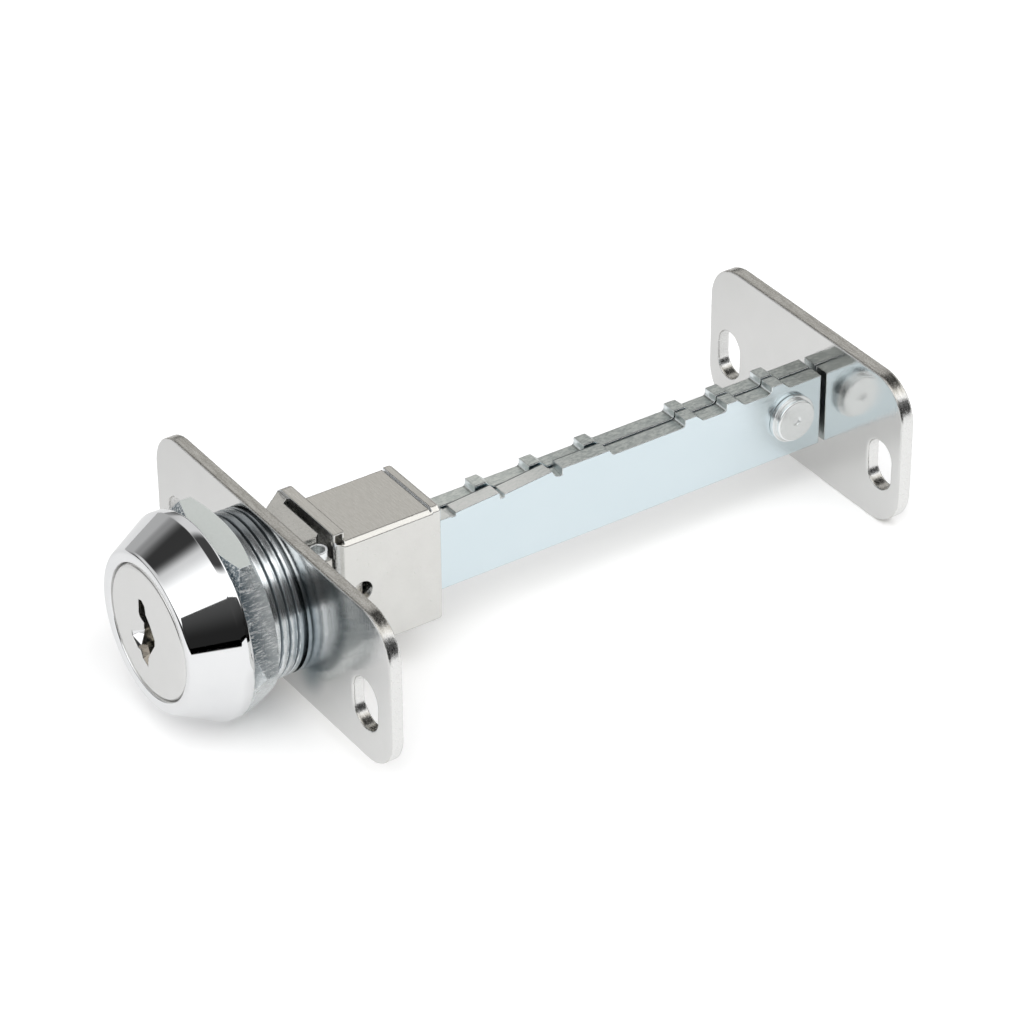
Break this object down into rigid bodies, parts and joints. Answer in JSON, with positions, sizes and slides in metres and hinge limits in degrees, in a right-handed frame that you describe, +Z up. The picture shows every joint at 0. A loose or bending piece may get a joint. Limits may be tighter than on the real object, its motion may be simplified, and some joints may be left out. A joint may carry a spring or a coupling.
{
  "type": "drawer bar lock",
  "caption": "Keyed drawer lock: a cone-headed threaded barrel and plate in front, a casing behind it, and a pair of long flat notched bars that run to a rear screw plate.",
  "frame": {"origin": "on the key axis, at the front face of the front plate", "axes": "+Y along the key axis from the key face to the rear plate, +X to the right seen from the key, +Z up"},
  "size_m": [0.04, 0.073, 0.0198],
  "materials": {
    "chrome_head": "bright chrome plating",
    "satin_plug": "satin nickel plating",
    "nickel_plate": "bright nickel plating",
    "brushed_nickel": "brushed nickel plating",
    "zinc_bar": "pale blue zinc plating",
    "zinc_nut": "zinc plating",
    "cast_block": "cast zinc, nickel plated",
    "rivet_steel": "plain steel",
    "wafer_brass": "stamped brass"
  },
  "bodies": {
    "lock_frame": {"cylinder_body": "chrome_head", "hex_nut": "zinc_nut", "front_plate": "nickel_plate", "housing_block": "cast_block", "housing_stake": "rivet_steel", "casing": "brushed_nickel", "spacer": "rivet_steel", "spacer_rivet": "rivet_steel", "far_bar": "zinc_bar", "pivot_rivet": "rivet_steel", "pivot_collar": "rivet_steel", "rear_plate": "nickel_plate"},
    "plug": {"key_plug": "satin_plug", "plug_clip": "rivet_steel", "crank_disc": "rivet_steel", "wafer_1": "wafer_brass", "wafer_2": "wafer_brass", "wafer_3": "wafer_brass", "wafer_4": "wafer_brass", "wafer_5": "wafer_brass", "wafer_6": "wafer_brass"},
    "slider": {"lift_slider": "cast_block"},
    "locking_bar": {"near_bar": "zinc_bar"}
  },
  "joints": [
    {"name": "plug_turn", "type": "hinge", "parent": "lock_frame", "child": "plug", "pos_m": [0, 0, 0], "axis": [0, -1, 0], "range_deg": [0, 90]},
    {"name": "slider_lift", "type": "slide", "parent": "lock_frame", "child": "slider", "axis": [0, 0, 1], "range_m": [0, 0.00219]},
    {"name": "bar_pivot", "type": "hinge", "parent": "lock_frame", "child": "locking_bar", "pos_m": [0.00417, 0.056, 0.0008], "axis": [-1, 0, 0], "range_deg": [0, 2.66]}
  ],
  "couplings": [
    {"joint": "slider_lift", "follows": "plug_turn", "m_per_rad": 0.0013955},
    {"joint": "bar_pivot", "follows": "plug_turn", "ratio": 0.029565}
  ]
}
